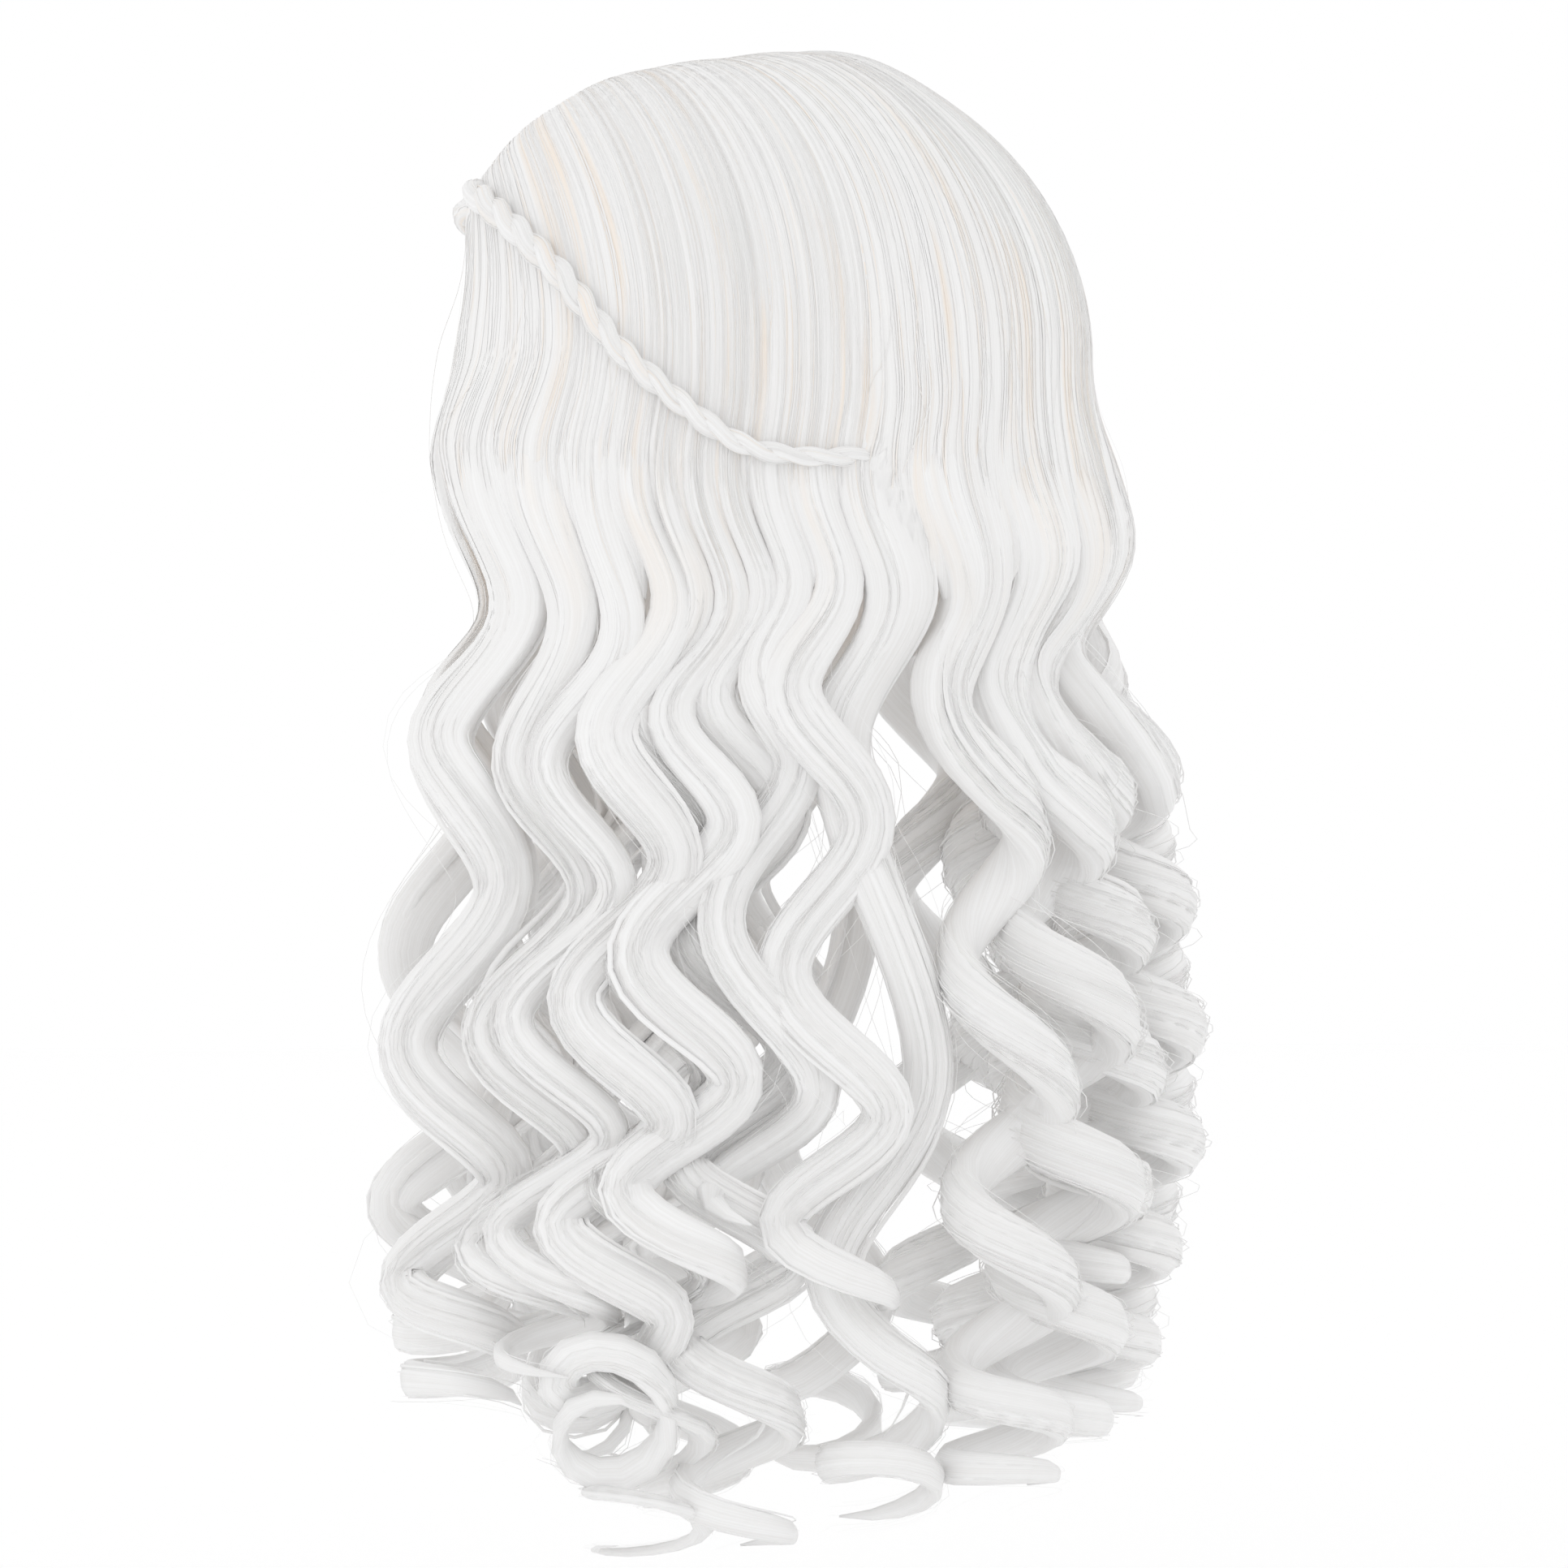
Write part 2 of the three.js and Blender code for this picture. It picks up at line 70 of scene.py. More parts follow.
# Wig cap
# A beige stretch-net cap, one thin wall that follows the head. Its rim runs high over the forehead and low at
# the nape, and the hair is sewn to it in rows, which show inside as raised tracks.
MM = 0.001
HEAD_DROP = 100
CAP_WALL = 2
CAP_SIDES = 120
CAP_ROWS = 40
CAP_TOP_SHARE = 0.02
SHARP_ANGLE = 80
RIM_ELEVATION = -2
RIM_TILT = 31
# A rounded form has a half size each way from the middle of the head, and a squareness: 2 is an ellipse.
Form = namedtuple("Form", "side front back rise fall square_front square_back square_side", defaults=(None,))
CAP_INSIDE = Form(74, 99, 93, 100, 150, 2.8, 2.2)
SQUARE_CHANGE = (-0.6, 0.6)


def smoothstep(value, low, high):
    share = np.clip((value - low) / (high - low), 0, 1)
    return share * share * (3 - 2 * share)


def lerp(low, high, share):
    return low + (high - low) * share


def outward(bearing, elevation=0.0):
    """Unit direction out from the head."""
    around = np.radians(bearing)
    up = np.radians(elevation)
    level = np.cos(up)
    return np.stack(np.broadcast_arrays(np.sin(around) * level, -np.cos(around) * level, np.sin(up)), -1)


def reach(direction, form):
    """Distance from the middle of the head to a rounded form, along unit directions.

    Its squareness changes from front to back, and may have another value towards the sides.
    """
    x, y, z = np.moveaxis(direction, -1, 0)
    square = lerp(form.square_front, form.square_back, smoothstep(y, *SQUARE_CHANGE))
    length = np.where(y < 0, form.front, form.back)
    height = np.where(z > 0, form.rise, form.fall)
    upright = (np.abs(y / length) ** square + np.abs(z / height) ** square) ** (1 / square)
    square_side = form.square_side or square
    return (np.abs(x / form.side) ** square_side + upright ** square_side) ** (-1 / square_side)


def grown(form, by):
    """A form with every half size larger."""
    sizes = [size + by for size in form[:5]]
    return Form(*sizes, *form[5:])


def from_head(direction, distance):
    """Places at distances from the middle of the head."""
    return direction * distance[..., None] + np.array([0, 0, -HEAD_DROP])


def linear(hex_colour):
    """An sRGB hex colour as linear RGBA."""
    srgb = [int(hex_colour[k:k + 2], 16) / 255 for k in (1, 3, 5)]
    return [c / 12.92 if c <= 0.04045 else ((c + 0.055) / 1.055) ** 2.4 for c in srgb] + [1]


def add_node(tree, kind, settings=None, **inputs):
    """A shader node with its settings, and its inputs given as values or as other nodes' outputs."""
    node = tree.nodes.new(kind)
    for name, value in (settings or {}).items():
        setattr(node, name, value)
    for name, value in inputs.items():
        socket = node.inputs[name.replace("_", " ")]
        if isinstance(value, bpy.types.NodeSocket):
            tree.links.new(value, socket)
        else:
            socket.default_value = value
    return node


def new_material(name):
    material = bpy.data.materials.new(name)
    material.use_nodes = True
    return material, material.node_tree, material.node_tree.nodes["Principled BSDF"]


def new_piece(name, points, faces, corner_places, material):
    """A smooth mesh on the wig, whose UV map holds each face corner's place across and along its tube."""
    mesh = bpy.data.meshes.new(name)
    mesh.from_pydata((points * MM).tolist(), [], faces)
    mesh.uv_layers.new(name="surface").data.foreach_set("uv", (corner_places * MM).ravel())
    mesh.polygons.foreach_set("use_smooth", [True] * len(mesh.polygons))
    mesh.set_sharp_from_angle(angle=math.radians(SHARP_ANGLE))
    mesh.materials.append(material)
    piece = bpy.data.objects.new(name, mesh)
    bpy.context.collection.objects.link(piece)
    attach(piece, "root")
    return piece


def end_faces(ring):
    """Faces that close rings of point numbers, as a strip across each ring."""
    sides = ring.shape[-1]
    if sides == 3:
        return ring
    k = np.arange((sides - 2) // 2)
    return ring[:, np.stack([k, k + 1, sides - 2 - k, sides - 1 - k], -1)].reshape(-1, 4)


def tube_surface(rings, across_offset):
    """Points, faces and corner places of closed tubes, from rings shaped (tubes, steps, sides, 3).

    Each tube's places start at its own offset, so that tubes don't repeat each other's streaks.
    """
    tubes, steps, sides = rings.shape[:3]
    number = np.arange(tubes * steps * sides).reshape(tubes, steps, sides)
    near, far = number[:, :-1], number[:, 1:]
    quads = np.stack([near, np.roll(near, -1, 2), np.roll(far, -1, 2), far], -1)
    ends = np.concatenate([end_faces(number[:, 0, ::-1]), end_faces(number[:, -1])])
    middles = rings.mean(2)
    along = np.linalg.norm(np.diff(middles, axis=1, prepend=middles[:, :1]), axis=-1).cumsum(1)
    girth = np.linalg.norm(rings - np.roll(rings, -1, 2), axis=-1).sum(2).mean(1)
    across = np.linspace(0, girth, sides + 1, axis=1) + across_offset[:, None]
    left, right = across[:, None, :-1], across[:, None, 1:]
    low, high = along[:, :-1, None], along[:, 1:, None]
    round_a_face = ((left, low), (right, low), (right, high), (left, high))
    corners = np.stack([np.stack(np.broadcast_arrays(*corner), -1) for corner in round_a_face], 3)
    end_corners = np.zeros((ends.size, 2))
    return rings.reshape(-1, 3), quads.reshape(-1, 4), ends, corners.reshape(-1, 2), end_corners


def tubes_piece(name, batches, material):
    """One mesh of many tubes, in batches of like rings with their offsets."""
    points, faces, corners = [], [], []
    count = 0
    for rings, offset in batches:
        batch_points, quads, ends, quad_corners, end_corners = tube_surface(rings, offset)
        points.append(batch_points)
        faces += (quads + count).tolist() + (ends + count).tolist()
        corners += [quad_corners, end_corners]
        count += len(batch_points)
    return new_piece(name, np.concatenate(points), faces, np.concatenate(corners), material)


# Stretch net: knitted nylon, matt and soft, with fine holes and the sewn tracks as low ridges. The holes
# hold painted shade, darkest at their middles where the bump dips, and are drawn coarser than the real 1 mm,
# so that they show.
HOLE_PITCH = 2.4 * MM
HOLE_DEPTH = 0.5 * MM
HOLE_STRENGTH = 0.6
HOLE_SHADE_COLOUR = "#DCC9B0"
THREAD_COLOUR = "#F1E6D6"
TRACK_PITCH = 11 * MM
TRACK_HEIGHT = 1.2 * MM
TRACK_STRENGTH = 0.5
TRACK_WANDER = 0.6
# The wave texture draws this many bands in a metre at a scale of 1.
WAVE_BANDS = 20 / (2 * math.pi)
cap_net, tree, shader = new_material("stretch_net")
surface = add_node(tree, "ShaderNodeUVMap", {"uv_map": "surface"}).outputs["UV"]
holes = add_node(tree, "ShaderNodeTexVoronoi", {"voronoi_dimensions": "2D"}, Vector=surface,
                 Scale=1 / HOLE_PITCH).outputs["Distance"]
tracks = add_node(tree, "ShaderNodeTexWave", {"bands_direction": "Y"}, Vector=surface,
                  Distortion=TRACK_WANDER, Scale=1 / TRACK_PITCH / WAVE_BANDS).outputs["Fac"]
# Painted shade: the net's colour darkens towards the middle of each hole.
shade = add_node(tree, "ShaderNodeMix", {"data_type": "RGBA"}, Factor=holes, A=linear(HOLE_SHADE_COLOUR),
                 B=linear(THREAD_COLOUR))
ridges = add_node(tree, "ShaderNodeBump", Height=tracks, Strength=TRACK_STRENGTH, Distance=TRACK_HEIGHT)
weave = add_node(tree, "ShaderNodeBump", Height=holes, Strength=HOLE_STRENGTH, Distance=HOLE_DEPTH,
                 Normal=ridges.outputs["Normal"])
tree.links.new(shade.outputs["Result"], shader.inputs["Base Color"])
tree.links.new(weave.outputs["Normal"], shader.inputs["Normal"])
shader.inputs["Roughness"].default_value = 0.85
shader.inputs["Specular IOR Level"].default_value = 0.3

cap_rows = np.linspace(CAP_TOP_SHARE, 1, CAP_ROWS)
cap_bearing = -np.arange(CAP_SIDES) * 360 / CAP_SIDES
cap_rim = RIM_ELEVATION + RIM_TILT * np.cos(np.radians(cap_bearing))
cap_direction = outward(cap_bearing, lerp(90, cap_rim, cap_rows[:, None]))
cap_inside = from_head(cap_direction, reach(cap_direction, CAP_INSIDE))
cap_outside = from_head(cap_direction, reach(cap_direction, grown(CAP_INSIDE, CAP_WALL)))
cap_rings = np.concatenate([cap_inside, cap_outside[::-1]])[None]
cap = tubes_piece("cap", [(cap_rings, np.zeros(1))], cap_net)
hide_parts("wig_cap")


# Tresses
# White heat-set synthetic fibre, sewn to the cap in rows and combed from a centre parting. It lies smooth
# over the head and parts into locks beside the face and neck, set in flat waves at the sides and in full
# coils at the back.

# Hair over the head: its outer form, its parting, and how it thickens from the roots and thins at the face.
HAIR_OUTSIDE = Form(97, 124, 118, 115, 400, 3, 1.9, 2.1)
SEAT_GAP = 2.4
PARTING = {"bearing": (20, 100, 180), "elevation": (31, 66, 78)}
PARTING_SLIT = 0.0015
SLIT_CLOSING = 25
TURN_SHARE = 0.72
ROOT_THICKNESS = 3
FULL_FALL = 0.35
EDGE_ROUND = 7
EDGE_THINNING = 0.85
# Low swells, each with its waves round the head and the pace at which they turn along the hair.
SWELL = 1.0
SWELL_WAVES = ((9, 2.5), (4, -4))

# Hair below the head: its middle at each drop, as half sizes to the sides, front and back, and its thickness.
FALL_DROP = 100
DRAPE = {
    "drop": (100, 160, 212, 260, 320, 380, 440, 530),
    "side": (86, 88, 92, 98, 108, 115, 118, 116),
    "front": (120, 118, 121, 121, 121, 122, 119, 110),
    "back": (108, 119, 115, 121, 126, 126, 114, 102),
}
DRAPE_SQUARE = (3, 2.2)
HANG_FALLS = (1, 1.4)
HALF_THICKNESS = 11
EDGE_HALF_THICKNESS = 4
RIB_HEIGHT = 3
RIB_FALLS = (1, 1.8)
# The front hair billows forward beside the face.
BILLOW = 9
BILLOW_FALL = 1.1
BILLOW_LENGTH = 0.4
BILLOW_BEARINGS = (50, 22)

# Curl of the hanging hair: turns made and radius at each drop. The two sides wind opposite ways.
CURL = {
    "drop": (96, 142, 189, 282, 372, 441, 498, 545),
    "turns": (-0.65, -0.2, 0.25, 1.25, 2.25, 3.25, 4.25, 5.25),
    "radius": (0, 3, 9, 15, 18.5, 19.5, 19.5, 19),
}
HAND_CHANGE = 12
# The way that hair faces as it curls, and the depth of its curl as a share of the radius. Hair at the sides
# waves fore and aft and stays flat apart from its tips, and hair at the back winds in full coils.
SWING = {
    "bearing": (20, 60, 105, 140, 180),
    "facing": (76, 82, 98, 140, 180),
    "depth": (0.5, 0.45, 0.5, 1, 1),
}
COIL_DEPTH = 0.75
COIL_AT_TIP = 0.9
WINDING_START = 1

# Form of a lock: its girth along it as a share of its width, its thickness, and where it parts, hangs out,
# tightens and rolls up.
GIRTH = {"share": (0, 0.16, 0.4, 0.85, 1), "girth": (0.8, 1.15, 1.02, 0.92, 0.6)}
LOCK_THICKNESS = 11
COIL_PLUMPNESS = 1.45
PLUMP_DEPTHS = (0.5, 1)
LOCK_START = 165
GATHER_LENGTH = 100
LAYER_DROPS = (175, 250)
TIGHT_START = 255
TIGHT_LENGTH = 100
ROLL_LENGTH = 60
ROLL_FULL = 20
TIP_LENGTH = 60
TIP_POWER = 4

# Locks of the left side: bearing, layer (how far out it hangs), drops where it parts and ends, lead of the
# curl in turns, extra turns in each TIGHT_LENGTH below TIGHT_START, width, the angle by which the last turn
# rolls up on edge, and the extra turns at its tip. Last come its hand, and the degrees of hair before and
# after it that it takes up, which all_locks fills in.
Lock = namedtuple("Lock", "bearing layer part tip lead tight width roll ring hand before after",
                  defaults=(1, 0, 0))
LOCKS = [
    Lock(29, 7, 225, 478, 0, -0.22, 21, 15, 0.9),
    Lock(42, -5, 205, 455, -0.1, -0.06, 14, 0, 0.5),
    Lock(50, 2, 180, 464, -0.12, 0.02, 14, 0, 0.5),
    Lock(60, 5, 200, 490, -0.01, -0.02, 19, 70, 1.1),
    Lock(63.5, -4, 240, 528, 0.1, 0.05, 7, 20, 0.8),
    Lock(70.5, 8, 240, 446, 0.15, 0, 20, 0, 0.3),
    Lock(78, -9, 225, 527, 0.2, 0.05, 17, 0, 0.3),
    Lock(83.5, 4, 215, 410, 0.4, -0.27, 17, 0, 0.2),
    Lock(95, 8, 190, 442, 0.15, -0.13, 19, 0, 0.2),
    Lock(104.5, -6, 235, 510, -0.1, -0.7, 18, 25, 1),
    Lock(126, 6, 185, 506, 0, 0, 20, 10, 0.9),
    Lock(142, 2, 230, 494, -0.15, 0.4, 21, 0, 0.6),
    Lock(157, -6, 200, 440, -0.04, 0.9, 20, 0, 0.5),
    Lock(172, 6, 195, 488, 0.04, 1.1, 21, 0, 0.5),
]
# The right side mirrors them, with uneven tips and a lead of its own, which is greater behind.
RIGHT_LEAD = 0.26
RIGHT_LEAD_BEHIND = 0.5
RIGHT_LEAD_CHANGE = (125, 165)
RIGHT_UNEVENNESS = 14
UNEVENNESS_STEP = 2.4
# Bearings between which each tress is sewn.
FRONT_EDGE = 20
TRESSES = {
    "front_tress_left": (FRONT_EDGE, 46),
    "side_tress_left": (46, 100),
    "back_tress_left": (100, 149.5),
    "middle_tress": (149.5, 210.5),
    "back_tress_right": (210.5, 260),
    "side_tress_right": (260, 314),
    "front_tress_right": (314, 360 - FRONT_EDGE),
}


def smooth_table(table, column):
    """Smooth reading of one column of a table, by its first column."""
    places = np.array(next(iter(table.values())), float)
    values = np.array(table[column], float)
    slopes = np.diff(values) / np.diff(places)
    inner = (slopes[:-1] + slopes[1:]) / 2
    first = (3 * slopes[0] - inner[0]) / 2
    last = (3 * slopes[-1] - inner[-1]) / 2
    tangents = np.concatenate([[first], inner, [last]])

    def read(place):
        place = np.clip(place, places[0], places[-1])
        k = np.clip(np.searchsorted(places, place, side="right") - 1, 0, len(places) - 2)
        span = places[k + 1] - places[k]
        p = (place - places[k]) / span
        bend = span * p * (1 - p) * ((1 - p) * tangents[k] - p * tangents[k + 1])
        return lerp(values[k], values[k + 1], p * p * (3 - 2 * p)) + bend

    return read


parting_at = smooth_table(PARTING, "elevation")
side_at = smooth_table(DRAPE, "side")
front_at = smooth_table(DRAPE, "front")
back_at = smooth_table(DRAPE, "back")
turns_at = smooth_table(CURL, "turns")
radius_at = smooth_table(CURL, "radius")
girth_at = smooth_table(GIRTH, "girth")
facing_at = smooth_table(SWING, "facing")
depth_at = smooth_table(SWING, "depth")


def unit(vectors):
    return vectors / np.linalg.norm(vectors, axis=-1, keepdims=True)


def sideways(bearing):
    """Level unit direction in which the bearing grows."""
    around = np.radians(bearing)
    return np.stack(np.broadcast_arrays(np.cos(around), np.sin(around), 0.0), -1)


def folded(bearing):
    """A bearing as on the left side."""
    return np.minimum(bearing, 360 - bearing)


def combed(bearing, share):
    """Direction of combed hair, which leaves the parting sideways and hangs plumb at the widest part."""
    elevation = parting_at(folded(bearing))
    root = outward(0 * bearing, elevation)
    slit = PARTING_SLIT * np.clip((180 - folded(bearing)) / SLIT_CLOSING, 0, 1)
    root[..., 0] = slit * np.sign(180 - bearing)
    turn = outward(bearing, elevation * TURN_SHARE)
    share = share[..., None]
    return unit(root * (1 - share) ** 2 + turn * 2 * share * (1 - share) + outward(bearing) * share ** 2)


def drape_place(bearing, drop):
    """Middle of the hanging hair."""
    direction = outward(bearing)
    form = Form(side_at(drop), front_at(drop), back_at(drop), 1, 1, *DRAPE_SQUARE)
    place = direction * reach(direction, form)[..., None]
    place[..., 2] = -drop
    return place


def facing(bearing):
    """The way that hair at a bearing faces as it waves."""
    turned = facing_at(folded(bearing))
    return np.where(bearing > 180, 360 - turned, turned)


def curled(place, bearing, hand, radius, turns, tilt, coil):
    """A place moved along a curl, whose depth is a share of its width until it winds in a full coil."""
    angle = 2 * np.pi * turns
    depth = lerp(depth_at(folded(bearing)), 1, coil)
    aside = sideways(facing(bearing)) * (hand * radius * np.sin(angle))[..., None]
    return place + aside + outward(facing(bearing), tilt) * (depth * radius * np.cos(angle))[..., None]


def lock_turns(lock, drop, lead):
    """Turns of a lock's curl, which winds up tighter at its tip."""
    tight = lock.tight * np.maximum(0, drop - TIGHT_START) / TIGHT_LENGTH
    ring = lock.ring * np.clip(1 + (drop - lock.tip) / TIP_LENGTH, 0, 1) ** TIP_POWER
    return turns_at(drop) + lock.lead + lead + tight + ring


def lock_place(lock, drop, lead, swell):
    """A lock hangs as a curl that opens out as it drops, and its last turn may roll up on edge."""
    at_tip = smoothstep(drop, lock.tip - ROLL_LENGTH, lock.tip - ROLL_FULL)
    layer = lock.layer * smoothstep(drop, *LAYER_DROPS)
    place = drape_place(lock.bearing, drop) + outward(lock.bearing) * layer[..., None]
    turns = lock_turns(lock, drop, lead)
    return curled(place, lock.bearing, lock.hand, radius_at(drop) * swell, turns, lock.roll * at_tip,
                  COIL_AT_TIP * at_tip)


def is_coil(lock):
    """Whether a lock winds in full coils, and doesn't hang as a flat wave."""
    return depth_at(folded(lock.bearing)) > COIL_DEPTH


def winding_start(lock):
    """The turn from which a lock's face follows its curl: high in a coil, and at the tip of a flat wave."""
    if is_coil(lock):
        return WINDING_START
    return np.ceil(lock_turns(lock, lock.tip - ROLL_LENGTH, 0.0))


def lock_axes(lock, drop, lead, swell):
    """The way across a lock's flat face, and the way out of that face."""
    along = unit(lock_place(lock, drop + 1, lead, swell) - lock_place(lock, drop - 1, lead, swell))
    winding = 2 * np.pi * np.maximum(0, lock_turns(lock, drop, lead) - winding_start(lock))[..., None]
    way = facing(lock.bearing)
    face = outward(way) * np.cos(winding) + sideways(way) * lock.hand * np.sin(winding)
    across = unit(np.cross(face, along))
    return across, np.cross(along, across)


def parted(lock, drop):
    """How far a lock has parted from the hair beside it."""
    return smoothstep(drop, lock.part - GATHER_LENGTH / 2, lock.part + GATHER_LENGTH / 2)


# Behind the ear the back hair laps over the side hair, with an edge that hangs plumb and then sweeps back.
LAP = 5
LAP_BEARING = 105
LAP_SWEEP = 22
LAP_SWEEP_FALL = 1.35
LAP_RISE = 2.5
LAP_REACH = 38
LAP_FALLS = (0.8, 1.3)
LAP_END_FALLS = (1.6, 2)


def lap(bearing, fall):
    """How far the hair stands out where it laps over."""
    beyond = folded(bearing) - LAP_BEARING - LAP_SWEEP * np.maximum(0, fall - LAP_SWEEP_FALL)
    across = smoothstep(beyond, 0, LAP_RISE) * (1 - smoothstep(beyond, LAP_RISE, LAP_REACH))
    return LAP * across * smoothstep(fall, *LAP_FALLS) * (1 - smoothstep(fall, *LAP_END_FALLS))


def swell_at(bearing, fall):
    """How far the hair over the head swells or dips."""
    first, second = [np.sin(np.radians(waves * bearing) + pace * fall) for waves, pace in SWELL_WAVES]
    return SWELL * first * second


def sheet_place(bearing, depth, fall, rib, lead):
    """Place of hair in the combed sheet: depth through it, -1 to 1, and fall along it from the parting."""
    drop = HEAD_DROP + (fall - 1) * FALL_DROP
    edge = np.clip((FRONT_EDGE + EDGE_ROUND - folded(bearing)) / EDGE_ROUND, 0, 1)
    depth = depth * np.sqrt(1 - EDGE_THINNING * edge ** 2)
    direction = combed(bearing, np.clip(fall, 0, 1) + 0 * bearing)
    inner = reach(direction, grown(CAP_INSIDE, CAP_WALL + SEAT_GAP))
    full = reach(direction, HAIR_OUTSIDE) + rib + swell_at(bearing, fall)
    outer = lerp(inner + ROOT_THICKNESS, full, smoothstep(fall, 0, FULL_FALL))
    on_head = from_head(direction, lerp(inner, outer, (depth + 1) / 2))
    on_head[..., 2] -= np.maximum(0, fall - 1) * FALL_DROP
    hand = np.clip((180 - bearing) / HAND_CHANGE, -1, 1)
    turns = turns_at(drop) + lead
    hanging = curled(drape_place(bearing, drop), bearing, hand, radius_at(drop), turns, 0.0, 0.0)
    half = lerp(HALF_THICKNESS, EDGE_HALF_THICKNESS, np.clip(fall - 1, 0, 1))
    hanging = hanging + outward(bearing) * (half * depth + rib * (depth + 1) / 2)[..., None]
    billow = BILLOW * np.exp(-((fall - BILLOW_FALL) / BILLOW_LENGTH) ** 2)
    forward = outward(0.0) * (billow * smoothstep(folded(bearing), *BILLOW_BEARINGS))[..., None]
    return lerp(on_head, hanging, smoothstep(fall, *HANG_FALLS)[..., None]) + forward


def lock_rib(share, fall):
    """Rise of the hair at the middle of a lock, and its dip beside it, from where it leaves the head."""
    return RIB_HEIGHT / 2 * np.cos(np.pi * np.clip(share, -1, 1)) * smoothstep(fall, *RIB_FALLS)


def hair_place(lock, share, depth, fall, lead, swell):
    """Place of hair that leaves the sheet for a lock, by share across it and depth through it, -1 to 1."""
    drop = HEAD_DROP + (fall - 1) * FALL_DROP
    bearing = lock.bearing + share * np.where(share < 0, lock.before, lock.after)
    sheet = sheet_place(bearing, depth, fall, lock_rib(share, fall) + lap(bearing, fall), lead)
    across, face = lock_axes(lock, drop, lead, swell)
    girth = girth_at((drop - LOCK_START) / (lock.tip - LOCK_START))
    aside = across * (share * girth * lock.width / 2)[..., None]
    plump = lerp(1, COIL_PLUMPNESS, smoothstep(depth_at(folded(lock.bearing)), *PLUMP_DEPTHS))
    proud = face * (depth * girth * plump * LOCK_THICKNESS / 2)[..., None]
    in_lock = lock_place(lock, drop, lead, swell) + aside + proud
    return lerp(sheet, in_lock, parted(lock, drop)[..., None])


# The cover of a tress is a smooth sheet from the parting, softly ribbed with the locks. It goes under them
# where they part, and is notched between them.
COVER_COLUMN = 1.3
COVER_ROWS = 42
COVER_FALL = 2.1
COVER_NOTCH_FALL = 1.8
COVER_NOTCH_POWER = 1.5
COVER_SINK = (1.3, 2.1)
COVER_INSIDE = -0.9
COVER_END = 0.3
COVER_END_THICKNESS = 0.3


def tress_cover(low, high, locks):
    """Ring of a cover, column by column down and up again, and its offset."""
    column = np.linspace(low, high, round((high - low) / COVER_COLUMN) + 1)
    shares = [np.abs(column - lock.bearing) / np.where(column < lock.bearing, lock.before, lock.after)
              for lock in locks]
    beside = np.min(shares, axis=0)
    last_fall = lerp(COVER_FALL, COVER_NOTCH_FALL, beside ** COVER_NOTCH_POWER)
    fall = np.linspace(0, 1, COVER_ROWS)[None, :, None] * last_fall
    sink = smoothstep(fall, *COVER_SINK)
    outside = lerp(1, COVER_END, sink)
    inside = lerp(COVER_INSIDE, COVER_END - COVER_END_THICKNESS, sink)
    bearing, share, fall = [np.concatenate([part[..., ::-1], part], -1) for part in (column, beside, fall)]
    depth = np.concatenate([outside[..., ::-1], inside], -1)
    rib = lock_rib(share, fall) + lap(bearing, fall)
    return sheet_place(bearing, depth, fall, rib, 0.0), np.array([low])


# Steps along the hair: evenly spread over the head, and below it so many to each turn of the curl and to
# each fall.
HEAD_STEPS = 22
STEPS_PER_TURN = 12
HANG_STEPS = 5
FALL_GRID = np.linspace(0, 5.5, 551)


def fall_steps(lock, tip, start):
    """Falls along hairs that end at their own tips, with the same number of steps in each."""
    drop = HEAD_DROP + (FALL_GRID - 1) * FALL_DROP
    hang_pace = STEPS_PER_TURN * np.gradient(lock_turns(lock, drop, 0.0), FALL_GRID) + HANG_STEPS
    steps_at = np.cumsum(np.where(FALL_GRID < 1, HEAD_STEPS, hang_pace)) * (FALL_GRID[1] - FALL_GRID[0])
    first = np.interp(start, FALL_GRID, steps_at)
    last = np.interp(1 + (tip - HEAD_DROP) / FALL_DROP, FALL_GRID, steps_at)
    way = np.linspace(0, 1, int(np.ceil(last.max() - first)))
    return way, np.interp(lerp(first, last[:, None], way), steps_at, FALL_GRID)[..., None]


# The body of a lock is one rounded form with soft ridges along it, which comes out from under the cover.
CORE_COLUMNS = 20
CORE_START = 0.85
CORE_UNDER = 0.82
CORE_RISE = (1, 1.6)
CORE_SQUARE_IN_SHEET = 6
CORE_SQUARE_IN_LOCK = 2.1
ROUNDING_DROP = 20
CORE_RIDGE = 0.02
CORE_RIDGE_DRIFT = 0.3
CORE_TIP_SHARE = 0.9
CORE_TIP_POWERS = (2.2, 0.75)
CORE_TIP_END = 0.03
STREAK_SPREAD = 500


